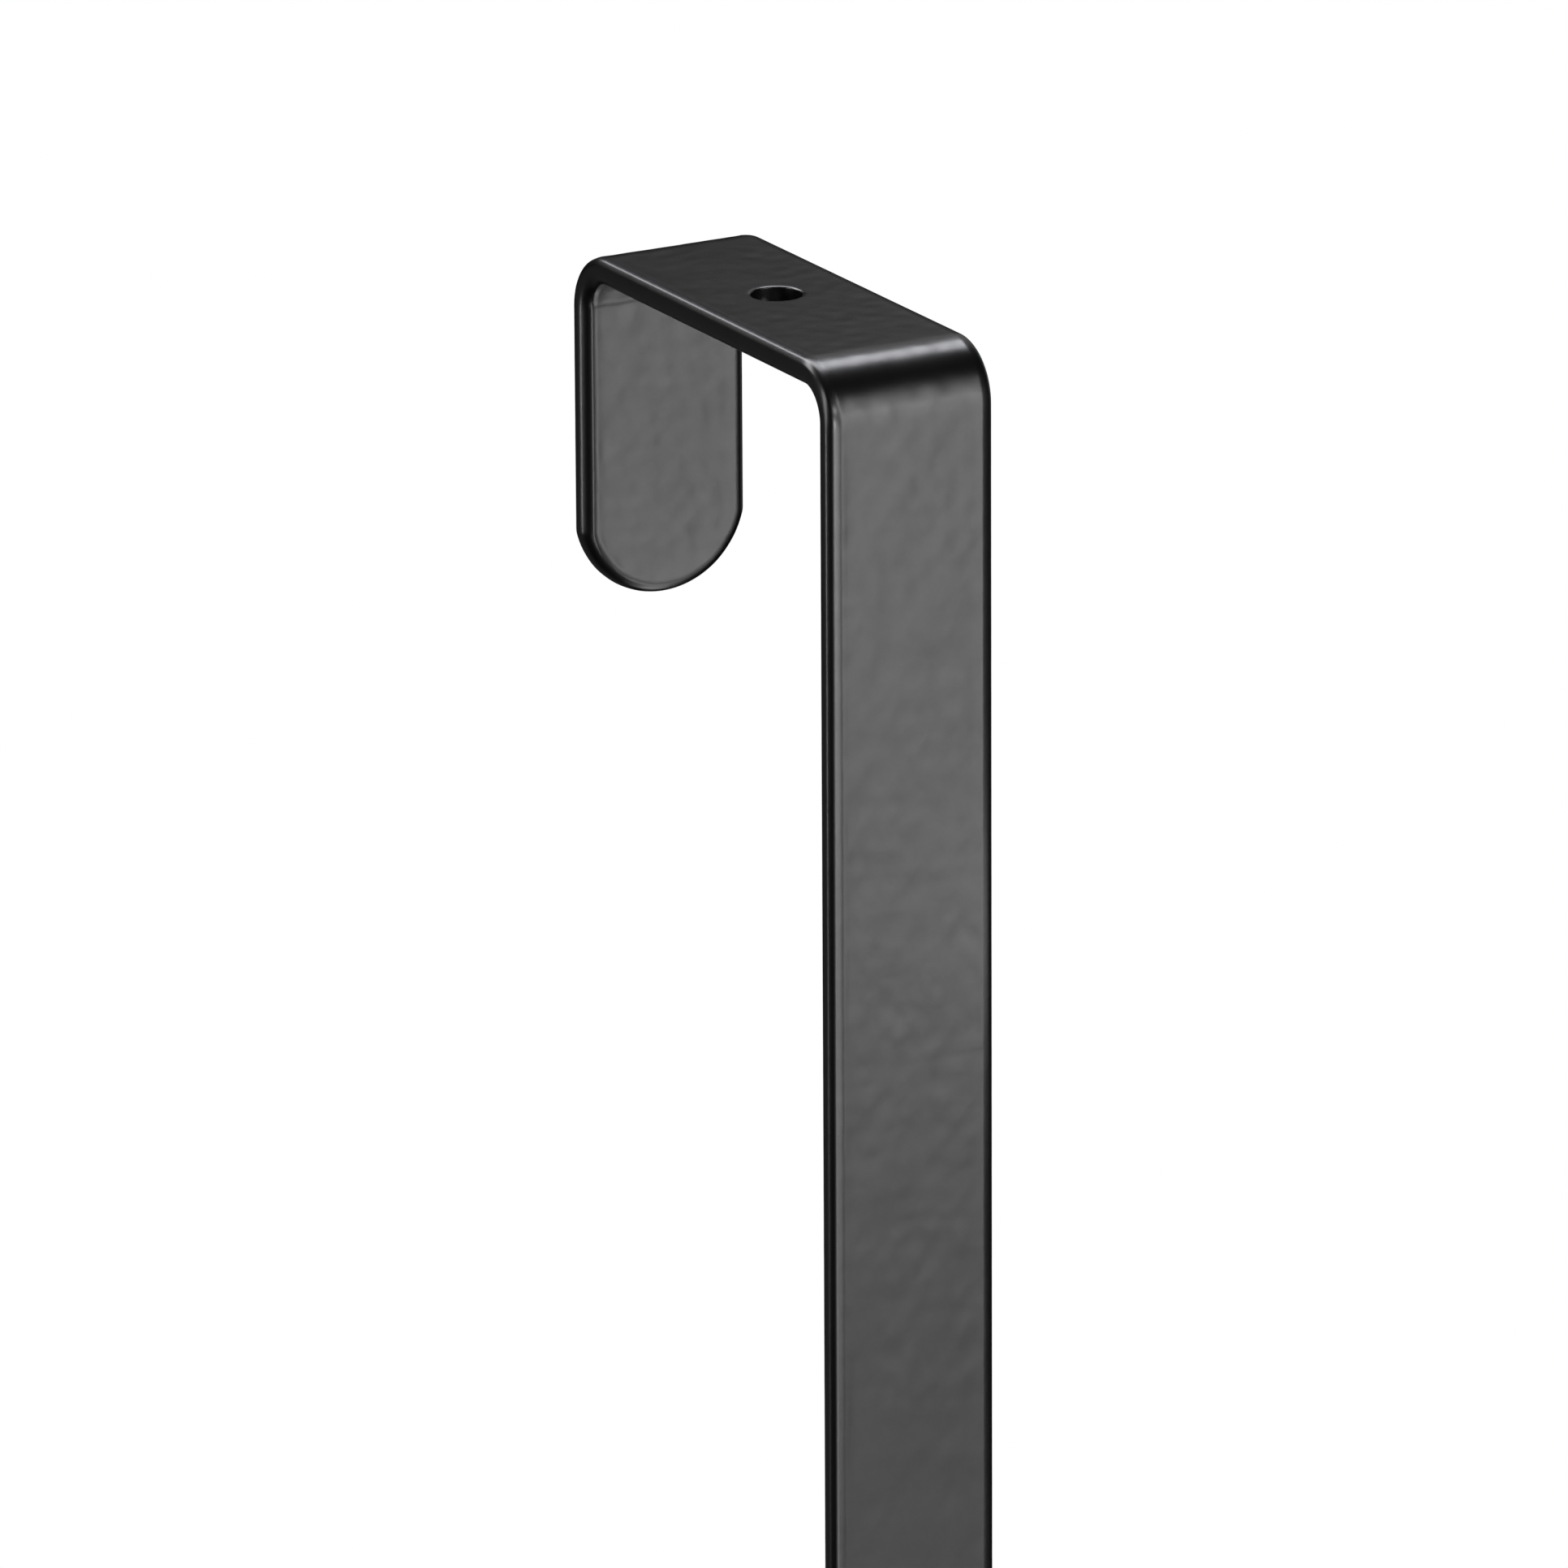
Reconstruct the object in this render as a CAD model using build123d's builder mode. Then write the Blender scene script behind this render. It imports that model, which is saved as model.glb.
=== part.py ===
from build123d import *
import os
from math import sqrt, acos, degrees

os.makedirs("parts", exist_ok=True)

# ---------------------------------------------------------------------------
# Over door hook: one strip of flat steel bar, cut, punched, bent and coated.
#
# Frame: the origin is on the axis of the screw hole, in the underside of the
# bridge, which is the face that lies on the top edge of the door. +Z is up,
# -Y is the room side with the long leg, +Y is the far side with the short leg,
# X runs along the width of the bar. Lengths in millimetres.
# ---------------------------------------------------------------------------

# the bar
bar_width = 19.0          # X size of the strip
bar_thick = 3.0           # thickness with its coating
room_edge_radius = 1.15   # rounding of the rims of the face towards the room
door_edge_radius = 1.5    # rounding of the rims of the face towards the door

# the bracket over the door
door_gap = 48.0           # clear distance between the two legs
front_bend_radius = 3.1   # inside radius, bridge to long leg
back_bend_radius = 3.35   # inside radius, bridge to short leg
short_leg_drop = 34.8     # from the underside of the bridge down to the tip

# the hole in the bridge
hole_radius = 2.65
hole_rim_radius = 0.2     # rounding of both rims of the hole
hole_offset = 0.7         # hole axis to the middle of the door gap, towards the short leg

# the hook at the lower end of the long leg
overall_height = 305.0    # top of the bridge to the lowest point of the hook
hook_radius = 12.0        # inside radius of the half-round hook
lip_rise = 16.0           # centre of the half round up to the tip of the lip

# outline of both tips: a large arc across the end, small arcs at the corners
tip_radius = 9.75
tip_corner_radius = 2.4

# ---------------------------------------------------------------------------
# derived positions
# ---------------------------------------------------------------------------
half_w = bar_width / 2
y_front_in = -(door_gap / 2 + hole_offset)     # long leg, face towards the door
y_front_out = y_front_in - bar_thick           # long leg, face towards the room
y_back_in = door_gap / 2 - hole_offset         # short leg, face towards the door
y_back_out = y_back_in + bar_thick
z_top = bar_thick
z_short_tip = -short_leg_drop
z_hook = z_top - overall_height + hook_radius + bar_thick   # centre of the half round
y_hook = y_front_out - hook_radius
y_lip_in = y_hook - hook_radius
y_lip_out = y_lip_in - bar_thick
z_lip_tip = z_hook + lip_rise

fr_in, fr_out = front_bend_radius, front_bend_radius + bar_thick
br_in, br_out = back_bend_radius, back_bend_radius + bar_thick
fc = (y_front_in + fr_in, -fr_in)              # axis of the front bend, as (y, z)
bc = (y_back_in - br_in, -br_in)               # axis of the back bend
hk = (y_hook, z_hook)                          # axis of the hook's half round
hk_in, hk_out = hook_radius, hook_radius + bar_thick

# tip outline: the corner arc's centre, and the angle where it meets the end arc
corner_x = half_w - tip_corner_radius
corner_reach = tip_radius - tip_corner_radius
corner_drop = sqrt(corner_reach ** 2 - corner_x ** 2)
corner_angle = degrees(acos(corner_x / corner_reach))
corner_s = tip_radius - corner_drop            # corner arc's centre, back from the tip


def tip_waste(plane, z_tip, sign):
    """Sketch of the material outside a tip's outline.

    The tip points along sign * local Y and ends at local Y = z_tip.
    """
    s_c = z_tip - sign * tip_radius            # centre of the end arc
    s_k = z_tip - sign * corner_s              # centres of the corner arcs
    far = z_tip + sign * 2.0
    wide = half_w + 2.0
    with BuildSketch(plane) as waste:
        with BuildLine():
            CenterArc((corner_x, s_k), tip_corner_radius, 0, sign * corner_angle)
            CenterArc((0, s_c), tip_radius, sign * corner_angle,
                      sign * (180 - 2 * corner_angle))
            CenterArc((-corner_x, s_k), tip_corner_radius,
                      sign * (180 - corner_angle), sign * corner_angle)
            Polyline((-half_w, s_k), (-wide, s_k), (-wide, far), (wide, far),
                     (wide, s_k), (half_w, s_k))
        make_face()
    return waste


def rims_along(part, line):
    """Edges round one wide face of the strip.

    The face is drawn in the side view as line. Its rims are the edges over that
    line, but for those that run across the width at a bend.
    """
    across = part.edges().filter_by(Axis.X)
    rims = []
    for edge in part.edges():
        middle = edge.position_at(0.5)
        seen = Vertex(middle.Y, middle.Z, 0)
        if edge not in across and min(piece.distance_to(seen) for piece in line) < 0.01:
            rims.append(edge)
    return rims


# ---------------------------------------------------------------------------
# the strip
# ---------------------------------------------------------------------------
with BuildPart() as over_door_hook:
    # side view of the bent strip, drawn as two parallel lines with their ends
    # closed, and given the width of the bar
    with BuildSketch(Plane.YZ) as side_view:
        with BuildLine() as side_line:
            # line along the door side: short leg, bridge, long leg, hook, lip
            door_line = [
                Line((y_back_in, z_short_tip), (y_back_in, bc[1])),
                CenterArc(bc, br_in, 0, 90),
                Line((bc[0], 0), (fc[0], 0)),
                CenterArc(fc, fr_in, 90, 90),
                Line((y_front_in, fc[1]), (y_front_in, z_hook)),
                CenterArc(hk, hk_out, 0, -180),
                Line((y_lip_out, z_hook), (y_lip_out, z_lip_tip)),
            ]
            # across the tip of the lip
            Line((y_lip_out, z_lip_tip), (y_lip_in, z_lip_tip))
            # line along the room side, back to the short leg
            room_line = [
                Line((y_lip_in, z_lip_tip), (y_lip_in, z_hook)),
                CenterArc(hk, hk_in, 180, 180),
                Line((y_front_out, z_hook), (y_front_out, fc[1])),
                CenterArc(fc, fr_out, 180, -90),
                Line((fc[0], z_top), (bc[0], z_top)),
                CenterArc(bc, br_out, 90, -90),
                Line((y_back_out, bc[1]), (y_back_out, z_short_tip)),
            ]
            Line((y_back_out, z_short_tip), (y_back_in, z_short_tip))
        make_face()
    extrude(amount=half_w, both=True)

    # the two tips are cut to their rounded outline; the cutting planes face +Y,
    # so their local X is the object's -X and the outline is the same both ways
    short_plane = Plane((0, y_back_in - 1, 0), x_dir=(-1, 0, 0), z_dir=(0, 1, 0))
    short_waste = tip_waste(short_plane, z_short_tip, -1)
    extrude(short_waste.sketch, amount=bar_thick + 2, mode=Mode.SUBTRACT)
    lip_plane = Plane((0, y_lip_out - 1, 0), x_dir=(-1, 0, 0), z_dir=(0, 1, 0))
    lip_waste = tip_waste(lip_plane, z_lip_tip, 1)
    extrude(lip_waste.sketch, amount=bar_thick + 2, mode=Mode.SUBTRACT)

    # rounded edges all the way round both wide faces
    fillet(rims_along(over_door_hook, room_line), radius=room_edge_radius)
    fillet(rims_along(over_door_hook, door_line), radius=door_edge_radius)

    # the plain round hole through the bridge, its rims slightly rounded
    with BuildSketch(Plane.XY) as hole:
        Circle(hole_radius)
    extrude(amount=bar_thick, mode=Mode.SUBTRACT)
    hole_rims = over_door_hook.edges().filter_by(GeomType.CIRCLE).filter_by(
        lambda e: abs(e.radius - hole_radius) < 1e-6
        and abs(e.arc_center.X) < 1e-6 and abs(e.arc_center.Y) < 1e-6)
    fillet(hole_rims, radius=hole_rim_radius)

over_door_hook.part.label = "over_door_hook"
export_step(over_door_hook.part, "parts/over_door_hook.step")

bb = over_door_hook.part.bounding_box()
print("over_door_hook", "solids", len(over_door_hook.part.solids()),
      "volume mm3", round(over_door_hook.part.volume, 1),
      "size", round(bb.size.X, 3), round(bb.size.Y, 3), round(bb.size.Z, 3),
      "z", round(bb.min.Z, 3), round(bb.max.Z, 3))
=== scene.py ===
import math

import bpy
import numpy as np
from mathutils import Matrix, Vector
from mathutils.geometry import delaunay_2d_cdt


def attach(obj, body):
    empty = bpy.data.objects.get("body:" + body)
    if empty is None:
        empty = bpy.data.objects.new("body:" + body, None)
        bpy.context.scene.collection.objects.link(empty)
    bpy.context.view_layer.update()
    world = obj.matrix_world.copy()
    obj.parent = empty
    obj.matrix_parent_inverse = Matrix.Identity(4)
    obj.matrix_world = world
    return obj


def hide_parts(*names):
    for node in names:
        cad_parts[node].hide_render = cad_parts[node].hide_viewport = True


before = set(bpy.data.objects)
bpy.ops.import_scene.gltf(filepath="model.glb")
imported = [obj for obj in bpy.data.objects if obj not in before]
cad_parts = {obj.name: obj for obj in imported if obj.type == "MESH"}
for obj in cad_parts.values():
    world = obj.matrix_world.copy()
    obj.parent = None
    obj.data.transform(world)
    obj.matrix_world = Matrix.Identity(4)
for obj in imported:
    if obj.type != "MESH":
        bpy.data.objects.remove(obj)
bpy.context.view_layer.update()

# ---------------------------------------------------------------------------
# the bar and its bends, in millimetres
# ---------------------------------------------------------------------------
HALF_W = 9.5
HALF_T = 1.5
TIP_R = 9.75
CORNER_R = 2.4
CORNER_X = HALF_W - CORNER_R
CORNER_REACH = TIP_R - CORNER_R
CORNER_DROP = math.sqrt(CORNER_REACH ** 2 - CORNER_X ** 2)
CORNER_A = math.acos(CORNER_X / CORNER_REACH)
CORNER_S = TIP_R - CORNER_DROP

Z_SHORT_TIP = -34.8
BACK_BEND = (19.95, -3.35, 4.85)     # y, z of the bend's axis, radius of the bar's middle
FRONT_BEND = (-21.6, -3.1, 4.6)
HOOK = (-39.7, -287.0, 13.5)
Z_LIP_TIP = -271.0

HOLE_R = 2.65
HOLE_ROLL = (0.58, 34.0)             # the punched rim rolls in with this radius, up to this tilt
HOLE_CORNER = 0.12                   # radius of the corner from there into the wall

# the bar's edge, from the face towards the room (tilt 0) over the narrow side
# (tilt 90) to the face towards the door (tilt 180): tilt in degrees, radius there.
# The punch rolls the room side over softly; the door side keeps a firmer corner.
EDGE = [(0, 0.79), (4, 2.62), (9, 5.05), (18, 1.38), (32, 0.53), (50, 1.37), (70, 0.63),
        (90, 1.89), (110, 1.42), (130, 1.67), (148, 1.37), (162, 0.51), (171, 1.91), (176, 4.24),
        (180, 1.92)]

# the coating: a low fat edge runs inside every rim, and the face lies a little
# lower than its crest. Steepest slope in degrees, depth inside the outline where it
# is found, and half the width of the slope; on the room side, on the door side
SLOPE = (1.44, 2.04)
SLOPE_D = (1.81, 1.32)
SLOPE_W = (0.89, 1.93)

# stretches of the bar's middle line: kind, length, row spacing, data
STRETCHES = [
    ("line", BACK_BEND[1] - Z_SHORT_TIP, 0.50,
     (BACK_BEND[0] + BACK_BEND[2], Z_SHORT_TIP, 0.0, 1.0)),
    ("arc", BACK_BEND[2] * math.pi / 2, 0.28, (*BACK_BEND, 0.0, 1, 1)),
    ("line", BACK_BEND[0] - FRONT_BEND[0], 0.50,
     (BACK_BEND[0], 1.5, -1.0, 0.0)),
    ("arc", FRONT_BEND[2] * math.pi / 2, 0.27, (*FRONT_BEND, math.pi / 2, 1, 1)),
    ("line", FRONT_BEND[1] - HOOK[1], 0.75,
     (FRONT_BEND[0] - FRONT_BEND[2], FRONT_BEND[1], 0.0, -1.0)),
    ("arc", HOOK[2] * math.pi, 0.60, (*HOOK, 0.0, -1, -1)),
    ("line", Z_LIP_TIP - HOOK[1], 0.50,
     (HOOK[0] - HOOK[2], HOOK[1], 0.0, 1.0)),
]
starts = np.cumsum([0.0] + [st[1] for st in STRETCHES])
LENGTH = float(starts[-1])
S_HOLE = float(starts[2]) + BACK_BEND[0]          # the hole is at y = 0


def middle(s):
    """y, z of the bar's middle line and of its outward normal, at lengths s."""
    s = np.asarray(s, float)
    out = np.zeros((len(s), 4))
    which = np.clip(np.searchsorted(starts, s, side="right") - 1, 0, len(STRETCHES) - 1)
    for i, (kind, length, _, data) in enumerate(STRETCHES):
        m = which == i
        t = s[m] - starts[i]
        if kind == "line":
            y, z, dy, dz = data
            out[m] = np.stack([y + dy * t, z + dz * t,
                               np.full_like(t, dz), np.full_like(t, -dy)], 1)
        else:
            y, z, r, a0, turn, side = data
            a = a0 + turn * t / r
            out[m] = np.stack([y + r * np.cos(a), z + r * np.sin(a),
                               side * np.cos(a), side * np.sin(a)], 1)
    return out


def bent(sx, n):
    """Points of the flat strip (s, x), at height n over its middle, once it is bent."""
    sx = np.asarray(sx, float)
    c = middle(sx[:, 0])
    n = np.broadcast_to(n, (len(sx),))
    return np.stack([sx[:, 1], c[:, 0] + n * c[:, 2], c[:, 1] + n * c[:, 3]], 1)


def rim_distance(sx):
    """How far points of the flat strip lie inside its outline."""
    s, x = sx[:, 0], np.abs(sx[:, 1])
    back = np.minimum(s, LENGTH - s)              # back from the nearer tip
    d = HALF_W - x
    r = np.hypot(x, back - TIP_R)
    tip = TIP_R - r
    k = 0.35                                       # the two meet in a soft valley
    h = np.clip(0.5 + 0.5 * (tip - d) / k, 0, 1)
    both = tip * (1 - h) + d * h - k * h * (1 - h)
    return np.where(back < TIP_R, both, d)


def sunk(d, side):
    """How much lower the coated face lies at depth d inside its outline."""
    k = 0 if side > 0 else 1
    w = SLOPE_W[k]
    t = np.clip(np.asarray(d, float) - SLOPE_D[k], -w, w)
    return math.radians(SLOPE[k]) * ((t + w) / 2 + w / (2 * math.pi) * np.sin(math.pi * t / w))


def face_height(d, side=1):
    """Height of the coated face over the bar's middle, at depth d inside its outline."""
    return HALF_T - sunk(d, side)


def edge_section():
    """Tilt, depth inside the outline and height over the middle, along the bar's edge."""
    step = 0.25
    tilt = np.arange(step / 2, 180, step)
    known = np.array(EDGE)
    radius = np.exp(np.interp(tilt, known[:, 0], np.log(known[:, 1])))
    run = np.radians(step)
    rise = np.sin(np.radians(tilt))
    # the narrow side takes up what the rest leaves of the thickness
    share = np.exp(-((tilt - 90) / 25.0) ** 2)
    lack = 2 * HALF_T - (radius * rise).sum() * run
    radius = radius * (1 + share * lack / ((radius * share * rise).sum() * run))
    x = np.cumsum(radius * np.cos(np.radians(tilt))) * run
    y = np.cumsum(radius * rise) * run
    return tilt, x.max() - x, HALF_T - 2 * HALF_T * y / y[-1]


# ---------------------------------------------------------------------------
# the flat strip's mesh: loops round its outline, a grid between them
# ---------------------------------------------------------------------------
rows = [CORNER_S]
for i, (kind, length, step, data) in enumerate(STRETCHES):
    a = max(float(starts[i]), CORNER_S)
    b = min(float(starts[i + 1]), LENGTH - CORNER_S)
    count = max(1, round((b - a) / step))
    rows += list(np.linspace(a, b, count + 1)[1:])
rows = np.array(rows)

BAND_D = 2.1                                       # depth of the loops round the outline
X_IN = HALF_W - BAND_D
COLS = 32
cols = np.linspace(-X_IN, X_IN, COLS)
ARC_N = 54
CORNER_N = 2


def outline():
    """(s, x) of the outline once round, its inward normals, and the index of each row on it."""
    pts, nrm = [], []
    left, right = [], []
    # along the edge x = +HALF_W from the first tip to the last
    for s in rows:
        right.append(len(pts))
        pts.append((s, HALF_W)); nrm.append((0.0, -1.0))
    # round the last tip, from +x to -x
    base = LENGTH
    angles = [CORNER_A * k / CORNER_N for k in range(1, CORNER_N)]
    for a in angles:
        pts.append((base - CORNER_S + CORNER_R * math.sin(a), CORNER_X + CORNER_R * math.cos(a)))
        nrm.append((-math.sin(a), -math.cos(a)))
    for k in range(ARC_N + 1):
        a = CORNER_A + (math.pi - 2 * CORNER_A) * k / ARC_N
        pts.append((base - TIP_R + TIP_R * math.sin(a), TIP_R * math.cos(a)))
        nrm.append((-math.sin(a), -math.cos(a)))
    for a in reversed(angles):
        pts.append((base - CORNER_S + CORNER_R * math.sin(a), -CORNER_X - CORNER_R * math.cos(a)))
        nrm.append((-math.sin(a), math.cos(a)))
    for s in rows[::-1]:
        left.append(len(pts))
        pts.append((s, -HALF_W)); nrm.append((0.0, 1.0))
    for a in angles:
        pts.append((CORNER_S - CORNER_R * math.sin(a), -CORNER_X - CORNER_R * math.cos(a)))
        nrm.append((math.sin(a), math.cos(a)))
    for k in range(ARC_N + 1):
        a = CORNER_A + (math.pi - 2 * CORNER_A) * k / ARC_N
        pts.append((TIP_R - TIP_R * math.sin(a), -TIP_R * math.cos(a)))
        nrm.append((math.sin(a), math.cos(a)))
    for a in reversed(angles):
        pts.append((CORNER_S - CORNER_R * math.sin(a), CORNER_X + CORNER_R * math.cos(a)))
        nrm.append((math.sin(a), -math.cos(a)))
    return np.array(pts), np.array(nrm), left[::-1], right


line, inward, left_i, right_i = outline()
N_LINE = len(line)

verts, faces = [], []
count = 0


def add(points):
    """Adds points and returns the index of the first."""
    global count
    first = count
    verts.append(np.asarray(points, float))
    count += len(points)
    return first


# the loops, from the outer face over the edge to the inner face: depth inside the
# outline, height over the middle, and whether the loop lies on the face itself
tilt_at, depth_at, height_at = edge_section()
section = [(BAND_D, HALF_T), (1.90, HALF_T)]
for tilt in (0.4, 2.5, 5, 8, 12, 17, 23, 30, 38, 47, 57, 68, 79, 90, 100, 108, 115, 122, 129, 137, 146,
             155, 163, 169, 173, 176, 178.5):
    section.append((float(np.interp(tilt, tilt_at, depth_at)), float(np.interp(tilt, tilt_at, height_at))))
section += [(1.65, -HALF_T), (1.88, -HALF_T), (BAND_D, -HALF_T)]

loop_at = []
for d, n in section:
    sx = line + inward * d
    side = 1 if n > 0 else -1
    depth = rim_distance(sx) if d > 1.6 else np.full(N_LINE, d)
    loop_at.append(add(bent(sx, n - side * sunk(depth, side))))
for a, b in zip(loop_at[:-1], loop_at[1:]):
    for i in range(N_LINE):
        j = (i + 1) % N_LINE
        faces.append((a + i, a + j, b + j, b + i))


def face_sheet(side, loop):
    """The face inside the innermost loop. side is +1 on the outer face, -1 on the inner one."""
    inner = line + inward * BAND_D
    # grid of the straight part: its end columns are points of the loop
    hole_a = int(np.searchsorted(rows, S_HOLE - 5.2))
    hole_b = int(np.searchsorted(rows, S_HOLE + 5.2))
    col_a = int(np.searchsorted(cols, -5.2)) - 1
    col_b = COLS - 1 - col_a
    index = np.full((len(rows), COLS), -1)
    index[:, 0] = [loop + i for i in left_i]
    index[:, -1] = [loop + i for i in right_i]
    pts, where = [], []
    for r in range(len(rows)):
        for c in range(1, COLS - 1):
            if hole_a < r < hole_b and col_a < c < col_b:
                continue
            where.append((r, c))
            pts.append((rows[r], cols[c]))
    pts = np.array(pts)
    first = add(bent(pts, side * face_height(rim_distance(pts), side)))
    for k, (r, c) in enumerate(where):
        index[r, c] = first + k

    def quad(a, b, c, d):
        faces.append((a, b, c, d) if side > 0 else (d, c, b, a))

    for r in range(len(rows) - 1):
        for c in range(COLS - 1):
            if hole_a <= r < hole_b and col_a <= c < col_b:
                continue
            quad(index[r, c], index[r + 1, c], index[r + 1, c + 1], index[r, c + 1])

    def fill(ring_sx, ring_index, inner_rings, spare):
        """Triangles between closed rings, through spare points."""
        coords, known, edges = [], [], []
        for sx, ids in [(ring_sx, ring_index)] + inner_rings:
            base = len(coords)
            coords += [Vector((float(p[0]), float(p[1]))) for p in sx]
            known += list(ids)
            edges += [(base + i, base + (i + 1) % len(sx)) for i in range(len(sx))]
        if len(spare):
            f = add(bent(spare, side * face_height(rim_distance(spare), side)))
            coords += [Vector((float(p[0]), float(p[1]))) for p in spare]
            known += [f + i for i in range(len(spare))]
        out = delaunay_2d_cdt(coords, edges, [], 1, 1e-7)
        holes = [sx for sx, _ in inner_rings]
        vs, _, tris, orig = out[0], out[1], out[2], out[3]
        for tri in tris:
            ids = [known[orig[v][0]] for v in tri]
            cen = np.mean([[vs[v].x, vs[v].y] for v in tri], 0)
            if holes and np.hypot(cen[0] - S_HOLE, cen[1]) < np.hypot(*(holes[0][0] - [S_HOLE, 0.0])) - 1e-3:
                continue
            # counter-clockwise in (s, x) has its normal away from the outer face
            (ax, ay), (bx, by), (cx, cy) = [(vs[v].x, vs[v].y) for v in tri]
            ccw = (bx - ax) * (cy - ay) - (by - ay) * (cx - ax) > 0
            if ccw != (side > 0):
                ids = ids[::-1]
            faces.append(tuple(ids))

    # the two tips
    for tip in (0, 1):
        row = 0 if tip == 0 else len(rows) - 1
        if tip == 0:
            run = list(range(left_i[0], N_LINE)) + [right_i[0]]
        else:
            run = list(range(right_i[-1], left_i[-1] + 1))
        ring_sx = [inner[i] for i in run]
        ring_id = [loop + i for i in run]
        order = range(COLS - 2, 0, -1) if tip == 0 else range(1, COLS - 1)
        for c in order:
            ring_sx.append(np.array([rows[row], cols[c]]))
            ring_id.append(int(index[row, c]))
        ring = np.array(ring_sx)
        spare = []
        k = 1
        while True:
            s = rows[row] + (-1 if tip == 0 else 1) * 0.47 * k
            reach = TIP_R - BAND_D - 0.33
            back = s if tip == 0 else LENGTH - s
            if TIP_R - back > reach:
                break
            half = min(X_IN - 0.3, math.sqrt(max(0.0, reach ** 2 - (TIP_R - back) ** 2)))
            for x in cols:
                if abs(x) < half:
                    spare.append((s, x))
            k += 1
        fill(ring, ring_id, [], np.array(spare))

    # round the hole
    ring_sx, ring_id = [], []
    for r in range(hole_a, hole_b):
        ring_sx.append((rows[r], cols[col_b])); ring_id.append(int(index[r, col_b]))
    for c in range(col_b, col_a, -1):
        ring_sx.append((rows[hole_b], cols[c])); ring_id.append(int(index[hole_b, c]))
    for r in range(hole_b, hole_a, -1):
        ring_sx.append((rows[r], cols[col_a])); ring_id.append(int(index[r, col_a]))
    for c in range(col_a, col_b):
        ring_sx.append((rows[hole_a], cols[c])); ring_id.append(int(index[hole_a, c]))
    turn = np.arange(HOLE_N) * 2 * math.pi / HOLE_N
    circle = np.stack([np.cos(turn), np.sin(turn)], 1)
    rings = []
    for radius, sink in HOLE_RINGS:
        sx = np.array([S_HOLE, 0.0]) + circle * radius
        n = face_height(rim_distance(sx), side) - sink
        rings.append((sx, add(bent(sx, side * n))))
    for (_, a), (_, b) in zip(rings[:-1], rings[1:]):
        for i in range(HOLE_N):
            j = (i + 1) % HOLE_N
            quad(a + i, a + j, b + j, b + i)
    outer_sx, outer_first = rings[0]
    reach = HOLE_RINGS[0][0]
    spare = []
    for r in range(hole_a + 1, hole_b):
        for c in range(col_a + 1, col_b):
            if math.hypot(rows[r] - S_HOLE, cols[c]) > reach + 0.3:
                spare.append((rows[r], cols[c]))
    fill(np.array(ring_sx), ring_id, [(outer_sx, [outer_first + i for i in range(HOLE_N)])], np.array(spare))
    return rings[-1][1]


def hole_rim():
    """Radius and sink of the hole's rim, from where it leaves the face down to the wall."""
    roll, turn = HOLE_ROLL[0], math.radians(HOLE_ROLL[1])
    path = [(roll * math.sin(a), roll * (1 - math.cos(a)))
            for a in (turn * k / 6 for k in range(7))]
    u, v = path[-1]
    for k in range(1, 5):
        a = turn + (math.pi / 2 - turn) * k / 4
        path.append((u + HOLE_CORNER * (math.sin(a) - math.sin(turn)),
                     v + HOLE_CORNER * (math.cos(turn) - math.cos(a))))
    return [(HOLE_R + path[-1][0] - u, v) for u, v in path]


HOLE_N = 64
HOLE_RINGS = [(3.85, 0.0), (3.55, 0.0), (3.3, 0.0)] + hole_rim()
HOLE_DEEP = HOLE_RINGS[-1][1]

top_rim = face_sheet(1, loop_at[0])
low_rim = face_sheet(-1, loop_at[-1])

# the wall of the hole
turn = np.arange(HOLE_N) * 2 * math.pi / HOLE_N
circle = np.stack([np.cos(turn), np.sin(turn)], 1)
wall_a = float(face_height(9.0, 1)) - HOLE_DEEP
wall_b = float(face_height(9.0, -1)) - HOLE_DEEP
wall = [top_rim]
for t in (0.25, 0.5, 0.75):
    wall.append(add(bent(np.array([S_HOLE, 0.0]) + circle * HOLE_R, wall_a * (1 - t) - wall_b * t)))
wall.append(low_rim)
for a, b in zip(wall[:-1], wall[1:]):
    for i in range(HOLE_N):
        j = (i + 1) % HOLE_N
        faces.append((a + i, a + j, b + j, b + i))

points = np.concatenate(verts)


def vertex_normals(p):
    n = np.zeros_like(p)
    for size in (3, 4):
        f = np.array([q for q in faces if len(q) == size])
        if size == 3:
            a = np.cross(p[f[:, 1]] - p[f[:, 0]], p[f[:, 2]] - p[f[:, 0]])
        else:
            a = np.cross(p[f[:, 2]] - p[f[:, 0]], p[f[:, 3]] - p[f[:, 1]])
        for k in range(size):
            np.add.at(n, f[:, k], a)
    return n / np.maximum(np.linalg.norm(n, axis=1, keepdims=True), 1e-12)


normals = vertex_normals(points)


def waves(p, low, high, number, seed):
    """Soft random relief at points p (mm): plane waves with lengths from low to high, rms 1."""
    r = np.random.default_rng(seed)
    total = np.zeros(len(p))
    for _ in range(number):
        d = r.normal(size=3)
        d /= np.linalg.norm(d)
        length = low * (high / low) ** r.random()
        total += np.cos(p @ d * (2 * math.pi / length) + r.random() * 2 * math.pi)
    return total / math.sqrt(number / 2)


# the flow of the cured coating: a faint orange peel, and longer swells
relief = 0.0056 * waves(points, 1.8, 3.4, 90, 7) + 0.0044 * waves(points, 5.0, 11.0, 50, 8)
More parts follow.
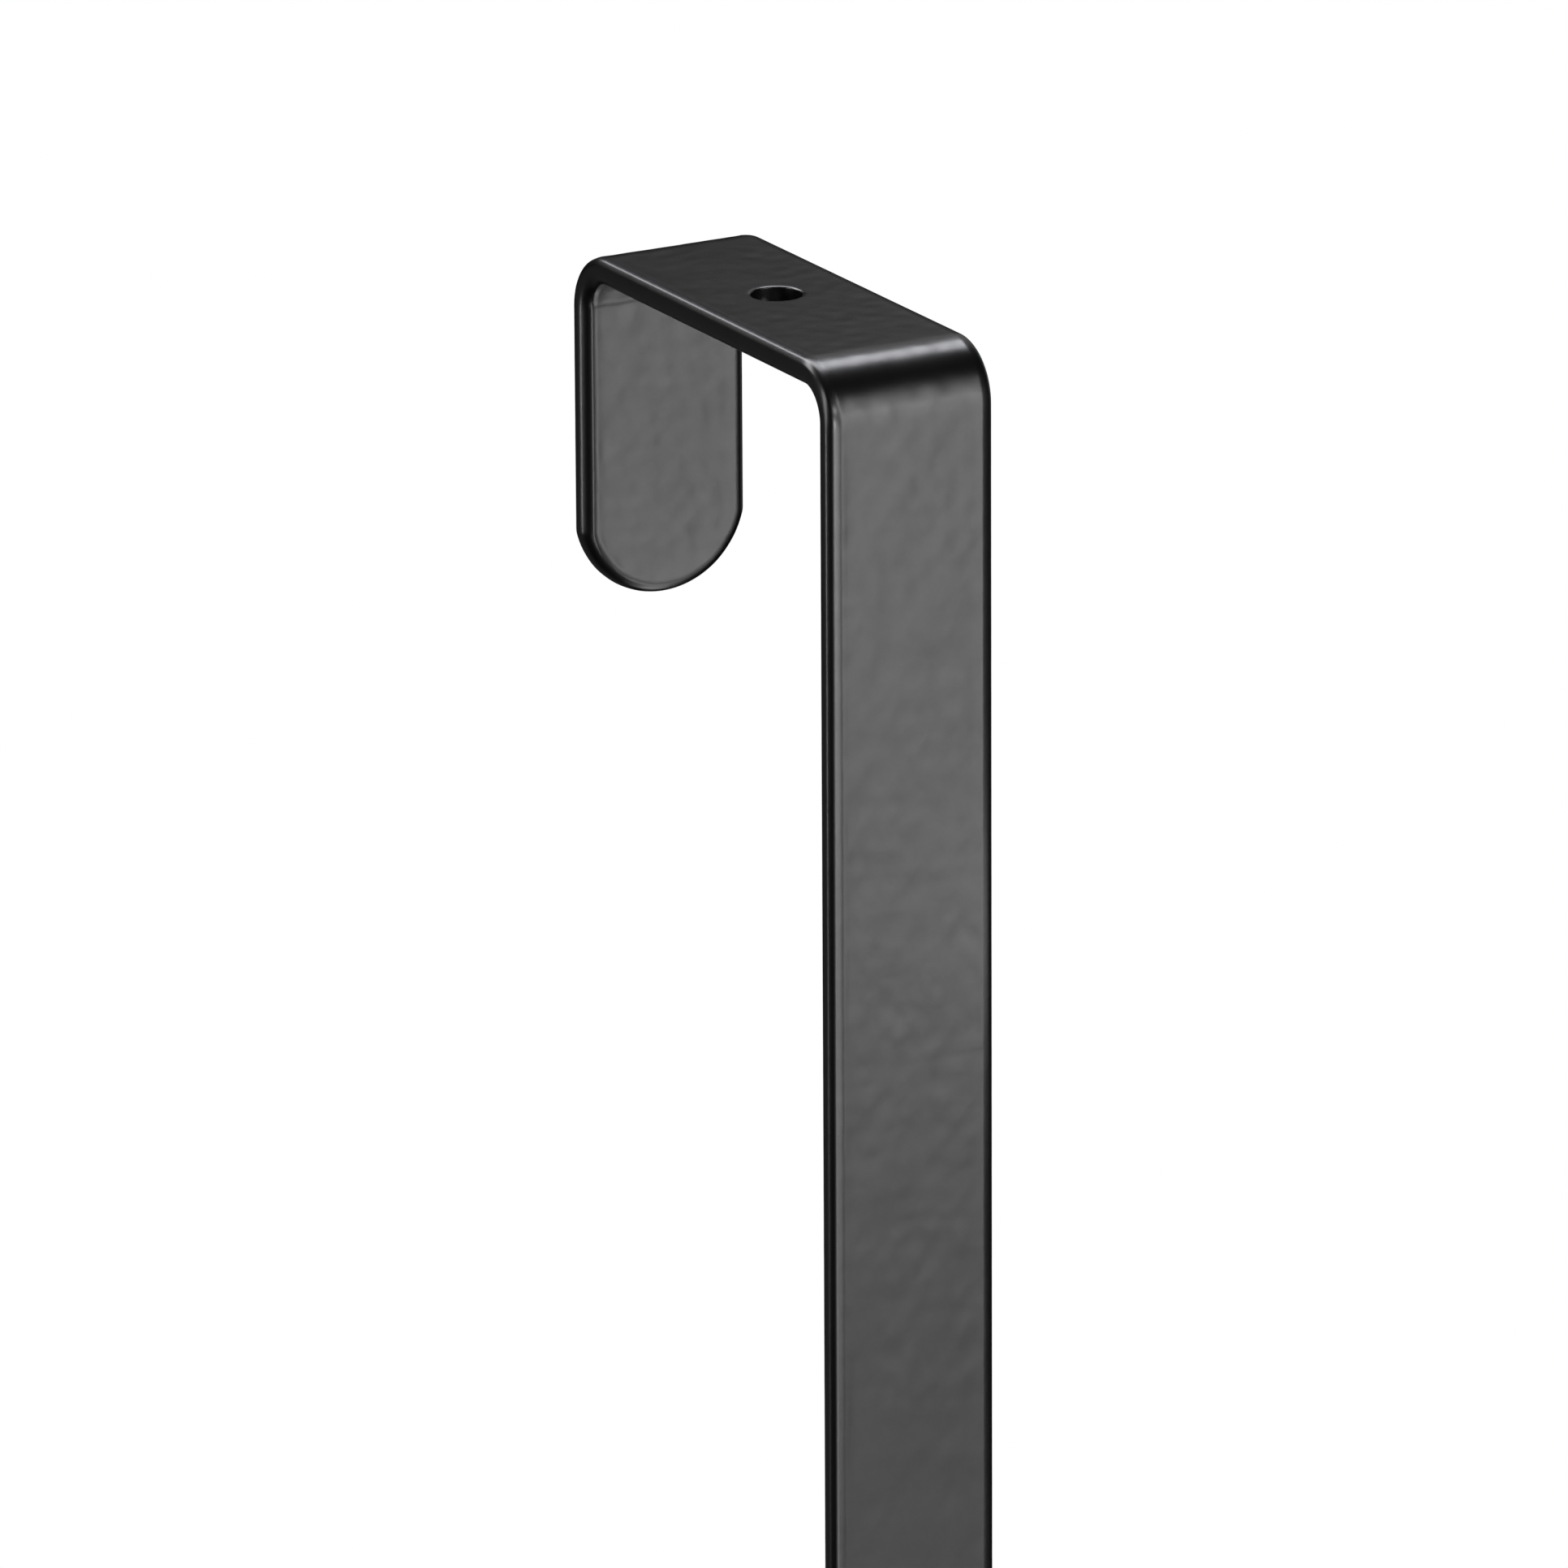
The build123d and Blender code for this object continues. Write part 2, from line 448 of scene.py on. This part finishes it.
# the coating draws tight and smooth towards every rim
px, py, pz = points.T
inset = 9.5 - np.abs(px)
inset = np.where(py > 18, np.minimum(inset, pz - Z_SHORT_TIP), inset)
inset = np.where((py < -48) & (pz > HOOK[1]), np.minimum(inset, Z_LIP_TIP - pz), inset)
inset = np.where(pz > -0.5, np.minimum(inset, np.hypot(px, py) - HOLE_R), inset)
t_in = np.clip((inset - 0.8) / 1.6, 0, 1)
relief *= 0.22 + 0.78 * t_in * t_in * (3 - 2 * t_in)
# all of it lies a touch inside the nominal surface
points = points + normals * (relief - 0.006)[:, None]

mesh = bpy.data.meshes.new("coated_strip")
mesh.from_pydata((points * 0.001).tolist(), [], faces)
mesh.validate()
mesh.polygons.foreach_set("use_smooth", [True] * len(mesh.polygons))
mesh.update()
strip = bpy.data.objects.new("coated_strip", mesh)
bpy.context.scene.collection.objects.link(strip)
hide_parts("over_door_hook")
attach(strip, "root")

# ---------------------------------------------------------------------------
# powder coat
# ---------------------------------------------------------------------------
def powder_coat():
    m = bpy.data.materials.new("powder_coat")
    m.use_nodes = True
    t = m.node_tree
    b = t.nodes["Principled BSDF"]
    b.inputs["IOR"].default_value = 1.5
    b.inputs["Metallic"].default_value = 0.0
    where = t.nodes.new("ShaderNodeTexCoord")
    # colour: a faint cloudiness of the pigment
    cloud = t.nodes.new("ShaderNodeTexNoise")
    cloud.inputs["Scale"].default_value = 140.0
    cloud.inputs["Detail"].default_value = 3.0
    t.links.new(where.outputs["Object"], cloud.inputs["Vector"])
    tint = t.nodes.new("ShaderNodeValToRGB")
    tint.color_ramp.elements[0].position = 0.3
    tint.color_ramp.elements[0].color = (0.0018, 0.0018, 0.0019, 1)
    tint.color_ramp.elements[1].position = 0.7
    tint.color_ramp.elements[1].color = (0.0028, 0.0027, 0.0028, 1)
    t.links.new(cloud.outputs["Fac"], tint.inputs["Fac"])
    t.links.new(tint.outputs["Color"], b.inputs["Base Color"])
    # roughness: semi-gloss, a little uneven
    patch = t.nodes.new("ShaderNodeTexNoise")
    patch.inputs["Scale"].default_value = 420.0
    patch.inputs["Detail"].default_value = 2.0
    t.links.new(where.outputs["Object"], patch.inputs["Vector"])
    rough = t.nodes.new("ShaderNodeMapRange")
    rough.inputs["To Min"].default_value = 0.270
    rough.inputs["To Max"].default_value = 0.298
    t.links.new(patch.outputs["Fac"], rough.inputs["Value"])
    t.links.new(rough.outputs["Result"], b.inputs["Roughness"])
    # gloss: faint cloudy patches, 2 to 4 mm across down to a fine grain
    haze = t.nodes.new("ShaderNodeTexNoise")
    haze.inputs["Scale"].default_value = 400.0
    haze.inputs["Detail"].default_value = 5.0
    haze.inputs["Roughness"].default_value = 0.8
    t.links.new(where.outputs["Object"], haze.inputs["Vector"])
    level = t.nodes.new("ShaderNodeMapRange")
    level.inputs["To Min"].default_value = 0.420
    level.inputs["To Max"].default_value = 0.580
    t.links.new(haze.outputs["Fac"], level.inputs["Value"])
    t.links.new(level.outputs["Result"], b.inputs["Specular IOR Level"])
    # the grain of the powder, finer than the peel in the mesh
    grain = t.nodes.new("ShaderNodeTexNoise")
    grain.inputs["Scale"].default_value = 900.0
    grain.inputs["Detail"].default_value = 3.0
    grain.inputs["Roughness"].default_value = 0.5
    t.links.new(where.outputs["Object"], grain.inputs["Vector"])
    bump = t.nodes.new("ShaderNodeBump")
    bump.inputs["Strength"].default_value = 1.0
    bump.inputs["Distance"].default_value = 0.0000070
    t.links.new(grain.outputs["Fac"], bump.inputs["Height"])
    t.links.new(bump.outputs["Normal"], b.inputs["Normal"])
    return m


coat = powder_coat()
mesh.materials.append(coat)
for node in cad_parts.values():
    node.data.materials.clear()
    node.data.materials.append(coat)

# ---------------------------------------------------------------------------
# floor, background, light
# ---------------------------------------------------------------------------
floor_mesh = bpy.data.meshes.new("floor")
E = 40.0
floor_mesh.from_pydata([(-E, -E, -2.03), (E, -E, -2.03), (E, E, -2.03), (-E, E, -2.03)], [], [(0, 1, 2, 3)])
floor = bpy.data.objects.new("floor", floor_mesh)
bpy.context.scene.collection.objects.link(floor)
pale = bpy.data.materials.new("pale_floor")
pale.use_nodes = True
pale.node_tree.nodes.clear()
glow = pale.node_tree.nodes.new("ShaderNodeEmission")
glow.inputs["Color"].default_value = (1, 1, 1, 1)
glow.inputs["Strength"].default_value = 1.0
out = pale.node_tree.nodes.new("ShaderNodeOutputMaterial")
pale.node_tree.links.new(glow.outputs["Emission"], out.inputs["Surface"])
floor_mesh.materials.append(pale)
floor.visible_glossy = False
floor.visible_diffuse = False
floor.visible_shadow = False

world = bpy.data.worlds.new("studio")
bpy.context.scene.world = world
world.use_nodes = True
wt = world.node_tree
wt.nodes.clear()
ray = wt.nodes.new("ShaderNodeLightPath")
seen = wt.nodes.new("ShaderNodeBackground")
seen.inputs["Color"].default_value = (1, 1, 1, 1)
room = wt.nodes.new("ShaderNodeBackground")
room.inputs["Color"].default_value = (0.0004, 0.0004, 0.0004, 1)
pick = wt.nodes.new("ShaderNodeMixShader")
wout = wt.nodes.new("ShaderNodeOutputWorld")
wt.links.new(ray.outputs["Is Camera Ray"], pick.inputs["Fac"])
wt.links.new(room.outputs["Background"], pick.inputs[1])
wt.links.new(seen.outputs["Background"], pick.inputs[2])
wt.links.new(pick.outputs["Shader"], wout.inputs["Surface"])


def direction(az, el):
    a, e = math.radians(az), math.radians(el)
    return Vector((math.sin(a) * math.cos(e), math.cos(a) * math.cos(e), math.sin(e)))


def softbox(name, az, el, width, height, roll, radiance, distance=1.0):
    """An area light in direction az, el from the bracket, that faces it, turned by roll."""
    data = bpy.data.lights.new(name, "AREA")
    data.shape = "RECTANGLE"
    data.size = width
    data.size_y = height
    data.energy = radiance * math.pi * width * height
    ob = bpy.data.objects.new(name, data)
    bpy.context.scene.collection.objects.link(ob)
    z = direction(az, el)
    x = Vector((0, 0, 1)).cross(z).normalized()
    y = z.cross(x)
    r = math.radians(roll)
    x, y = math.cos(r) * x + math.sin(r) * y, -math.sin(r) * x + math.cos(r) * y
    place = Vector((0, 0, -0.03)) + z * distance
    ob.matrix_world = Matrix.Translation(place) @ Matrix((x, y, z)).transposed().to_4x4()
    ob.visible_camera = False
    return ob


LIGHTS = [
    ("strip_right", 154.9, 8.0, 0.139, 1.084, 5.6, 9.651),
    ("strip_low", 175.1, -28.7, 0.053, 0.747, -1.4, 1.97),
    ("card_front_a", 173.5, -16.1, 0.130, 0.197, -86.9, 10.04),
    ("card_front_b", 189.2, -21.0, 0.107, 0.687, -27.5, 8.848),
    ("card_front_c", 184.4, -4.1, 0.162, 0.188, -39.8, 22.86),
    ("card_front_d", 151.4, 6.9, 0.047, 0.040, 12.8, 22.55),
    ("softbox_top", 9.4, 56.7, 0.983, 0.316, -56.2, 7.134),
    ("card_back_right", 63.6, 15.1, 0.594, 1.553, -48.1, 0.4718),
    ("card_side", 293.4, -12.7, 0.085, 0.162, 6.9, 18.41),
    ("card_back_left", 322.1, -26.3, 1.006, 2.407, -36.0, 0.07581),
    ("fill_front", 209.9, -32.1, 0.368, 0.332, 9.0, 0.8168),
    ("strip_left", 268.2, 11.5, 0.262, 0.792, -30.7, 6.299),
    ("card_front_e", 178.2, 18.7, 0.215, 0.140, -20.5, 15.43),
    ("card_back_top", 324.9, 44.2, 0.310, 0.765, 46.6, 8.907),
    ("strip_front", 178.2, 15.9, 0.214, 0.333, 11.3, 0.435),
    ("panel_low", 135.5, -59.6, 0.298, 1.206, 36.2, 3.133),
    ("panel_low_edge", 151.4, -36.8, 0.211, 0.271, 4.1, 2.553),
    ("card_top_right", 49.5, 56.2, 0.186, 0.355, 45.0, 10.75),
    ("card_low_right", 150.0, -33.8, 0.191, 0.079, 0.8, 1.537),
    ("card_near_bend", 144.2, -26.0, 0.032, 0.018, 0.0, 2.8, 0.129),
    ("fill_above", 20.5, 69.9, 0.401, 0.356, -0.5, 1.013),
]
# the lights over the bend are a little cooler than the rest
for spec in LIGHTS:
    light = softbox(*spec)
    if spec[0] in ("softbox_top", "card_top_right"):
        light.data.color = (0.965, 0.975, 1.030)
    else:
        light.data.color = (1.010, 0.990, 1.000)

# ---------------------------------------------------------------------------
# camera: the photograph's view
# ---------------------------------------------------------------------------
az, el, roll = math.radians(29.0435), math.radians(17.596), math.radians(-0.3065)
fwd = Vector((math.sin(az) * math.cos(el), math.cos(az) * math.cos(el), -math.sin(el)))
right = Vector((math.cos(az), -math.sin(az), 0.0))
upv = right.cross(fwd)
right, upv = (math.cos(roll) * right + math.sin(roll) * upv,
              -math.sin(roll) * right + math.cos(roll) * upv)
place = 0.1144 * right - 46.2561 * upv - 1509.7983 * fwd + Vector((0, -1.3, 0))
cam_data = bpy.data.cameras.new("camera")
cam = bpy.data.objects.new("camera", cam_data)
bpy.context.scene.collection.objects.link(cam)
cam_data.sensor_fit = "AUTO"
cam_data.sensor_width = 36.0
cam_data.lens = 18470.18 / 1932.0 * 36.0
cam_data.clip_start = 0.05
cam_data.clip_end = 200.0
rot = Matrix((right, upv, -fwd)).transposed().to_4x4()
cam.matrix_world = Matrix.Translation(place * 0.001) @ rot
bpy.context.scene.camera = cam

bpy.context.scene.view_settings.view_transform = "Standard"
bpy.context.scene.view_settings.look = "None"

bpy.context.view_layer.update()
